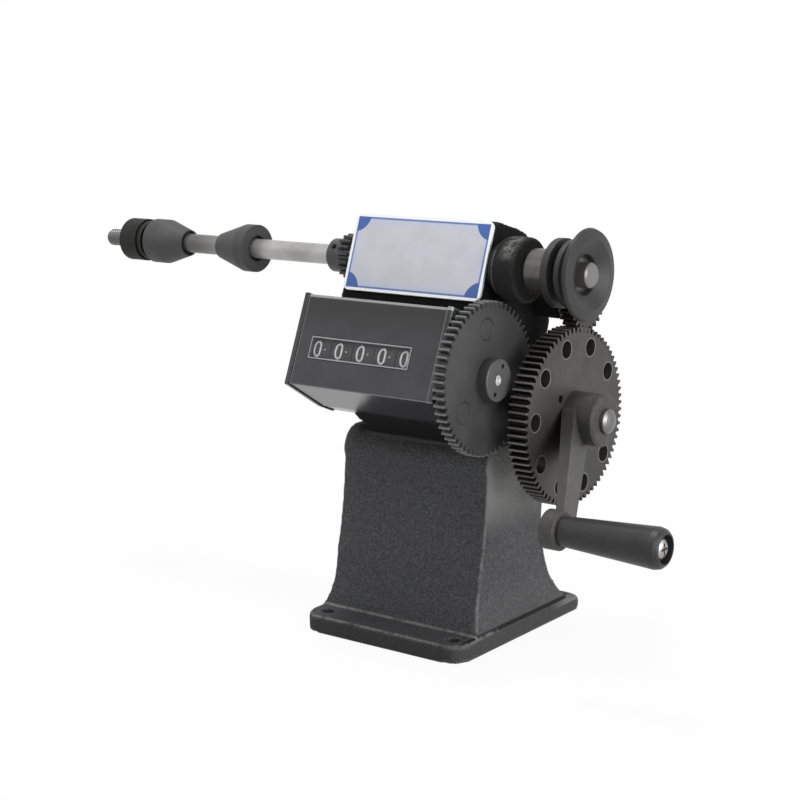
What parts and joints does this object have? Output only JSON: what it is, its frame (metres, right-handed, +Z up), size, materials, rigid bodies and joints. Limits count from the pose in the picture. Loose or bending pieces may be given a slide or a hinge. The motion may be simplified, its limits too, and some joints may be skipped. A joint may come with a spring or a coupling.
{
  "type": "hand coil winding machine",
  "caption": "Hand-cranked bench coil winder: flared iron column, geared winding spindle with centring cones and clamp nut, belt pulley, side crank with grip, and a tilted turns counter.",
  "frame": {"origin": "middle of the base plate's underside, between the four bolt holes", "axes": "+X along the winding spindle from its nut end towards the pulley and crank, +Y to the back of the machine, +Z up"},
  "size_m": [0.336, 0.1132, 0.1834],
  "materials": {
    "black_iron": "rough black paint over an as-cast skin",
    "plate_metal": "bare brushed face with a printed line border",
    "bronze": "turned sintered bronze",
    "bright_steel": "ground bright",
    "dark_steel": "oil-blackened and machined",
    "arm_iron": "satin black enamel",
    "black_plastic": "satin black moulding",
    "case_plastic": "semi-gloss charcoal",
    "drum_plastic": "black with white numerals",
    "clear_plastic": "clear polished pane",
    "gasket": "plain black rubber"
  },
  "bodies": {
    "stand": {"frame_casting": "black_iron", "name_plate": "plate_metal", "spindle_bush_left": "bronze", "spindle_bush_right": "bronze", "lay_bush_left": "bronze", "lay_bush_right": "bronze", "crank_bush_left": "bronze", "crank_bush_right": "bronze", "counter_case": "case_plastic", "counter_seat_pad": "gasket", "counter_end_left": "case_plastic", "counter_end_right": "case_plastic", "counter_left_screws": "bright_steel", "counter_right_screws": "bright_steel", "counter_mount_screws": "bright_steel", "counter_window": "clear_plastic", "counter_input_bush": "bronze", "counter_wheel_shaft": "bright_steel", "counter_shaft_spacers": "black_plastic"},
    "spindle": {"spindle_shaft": "bright_steel", "spindle_pinion": "black_plastic", "spindle_pinion_screw": "bright_steel", "spindle_thrust_washer": "bright_steel", "spindle_collar": "dark_steel", "spindle_collar_screw": "bright_steel", "pulley": "black_plastic"},
    "outer_cone": {"cone_left": "black_plastic"},
    "inner_cone": {"cone_right": "black_plastic"},
    "washer": {"clamp_washer": "dark_steel"},
    "nut": {"clamp_nut": "black_plastic"},
    "layshaft": {"lay_shaft": "bright_steel", "lay_pinion": "dark_steel", "lay_pinion_screw": "bright_steel", "lay_gear": "black_plastic", "lay_gear_screw": "bright_steel", "lay_thrust_washer": "bright_steel"},
    "crank": {"crank_shaft": "bright_steel", "drive_gear": "dark_steel", "counter_drive_pinion": "dark_steel", "counter_drive_screw": "bright_steel", "crank_thrust_washer": "bright_steel", "crank_shaft_collar": "dark_steel", "crank_collar_screw": "bright_steel", "crank_arm": "arm_iron", "crank_pin": "bright_steel", "grip_screw": "bright_steel"},
    "grip": {"crank_grip": "black_plastic"},
    "counter_input": {"counter_gear": "black_plastic", "counter_input_shaft": "bright_steel", "counter_input_pinion": "black_plastic"},
    "drum_units": {"digit_wheel_5": "drum_plastic", "units_pinion": "drum_plastic"},
    "drum_tens": {"digit_wheel_4": "drum_plastic"},
    "drum_hundreds": {"digit_wheel_3": "drum_plastic"},
    "drum_thousands": {"digit_wheel_2": "drum_plastic"},
    "drum_ten_thousands": {"digit_wheel_1": "drum_plastic"}
  },
  "joints": [
    {"name": "crank_turn", "type": "hinge", "parent": "stand", "child": "crank", "pos_m": [0.064, 0.0081, 0.0992], "axis": [1, 0, 0], "continuous": true},
    {"name": "layshaft_turn", "type": "hinge", "parent": "stand", "child": "layshaft", "pos_m": [0, 0.01853, 0.1481], "axis": [1, 0, 0], "continuous": true},
    {"name": "spindle_turn", "type": "hinge", "parent": "stand", "child": "spindle", "pos_m": [0, -0.0106, 0.1636], "axis": [1, 0, 0], "continuous": true},
    {"name": "grip_turn", "type": "hinge", "parent": "crank", "child": "grip", "pos_m": [0.118, -0.04994, 0.06736], "axis": [1, 0, 0], "continuous": true},
    {"name": "counter_input_turn", "type": "hinge", "parent": "stand", "child": "counter_input", "pos_m": [0.044, -0.03069, 0.12018], "axis": [1, 0, 0], "continuous": true},
    {"name": "units_turn", "type": "hinge", "parent": "stand", "child": "drum_units", "pos_m": [0.02, -0.03898, 0.12369], "axis": [1, 0, 0], "continuous": true},
    {"name": "tens_turn", "type": "hinge", "parent": "stand", "child": "drum_tens", "pos_m": [0.009, -0.03898, 0.12369], "axis": [1, 0, 0], "continuous": true},
    {"name": "hundreds_turn", "type": "hinge", "parent": "stand", "child": "drum_hundreds", "pos_m": [-0.003, -0.03898, 0.12369], "axis": [1, 0, 0], "continuous": true},
    {"name": "thousands_turn", "type": "hinge", "parent": "stand", "child": "drum_thousands", "pos_m": [-0.014, -0.03898, 0.12369], "axis": [1, 0, 0], "continuous": true},
    {"name": "ten_thousands_turn", "type": "hinge", "parent": "stand", "child": "drum_ten_thousands", "pos_m": [-0.026, -0.03898, 0.12369], "axis": [1, 0, 0], "continuous": true},
    {"name": "outer_cone_slide", "type": "slide", "parent": "spindle", "child": "outer_cone", "axis": [1, 0, 0], "range_m": [0, 0.0105]},
    {"name": "inner_cone_slide", "type": "slide", "parent": "spindle", "child": "inner_cone", "axis": [1, 0, 0], "range_m": [-0.0105, 0.044]},
    {"name": "washer_slide", "type": "slide", "parent": "spindle", "child": "washer", "axis": [-1, 0, 0], "range_m": [0, 0.00625]},
    {"name": "nut_turn", "type": "hinge", "parent": "washer", "child": "nut", "pos_m": [-0.175, -0.0106, 0.1636], "axis": [-1, 0, 0], "range_deg": [0, 1800]}
  ],
  "couplings": [
    {"joint": "layshaft_turn", "follows": "crank_turn", "ratio": -3},
    {"joint": "spindle_turn", "follows": "crank_turn", "ratio": 8},
    {"joint": "counter_input_turn", "follows": "crank_turn", "ratio": -0.4},
    {"joint": "units_turn", "follows": "crank_turn", "ratio": 0.8},
    {"joint": "tens_turn", "follows": "crank_turn", "ratio": 0.08},
    {"joint": "hundreds_turn", "follows": "crank_turn", "ratio": 0.008},
    {"joint": "thousands_turn", "follows": "crank_turn", "ratio": 0.0008},
    {"joint": "ten_thousands_turn", "follows": "crank_turn", "ratio": 0.00008},
    {"joint": "washer_slide", "follows": "nut_turn", "m_per_rad": 0.0001989}
  ]
}
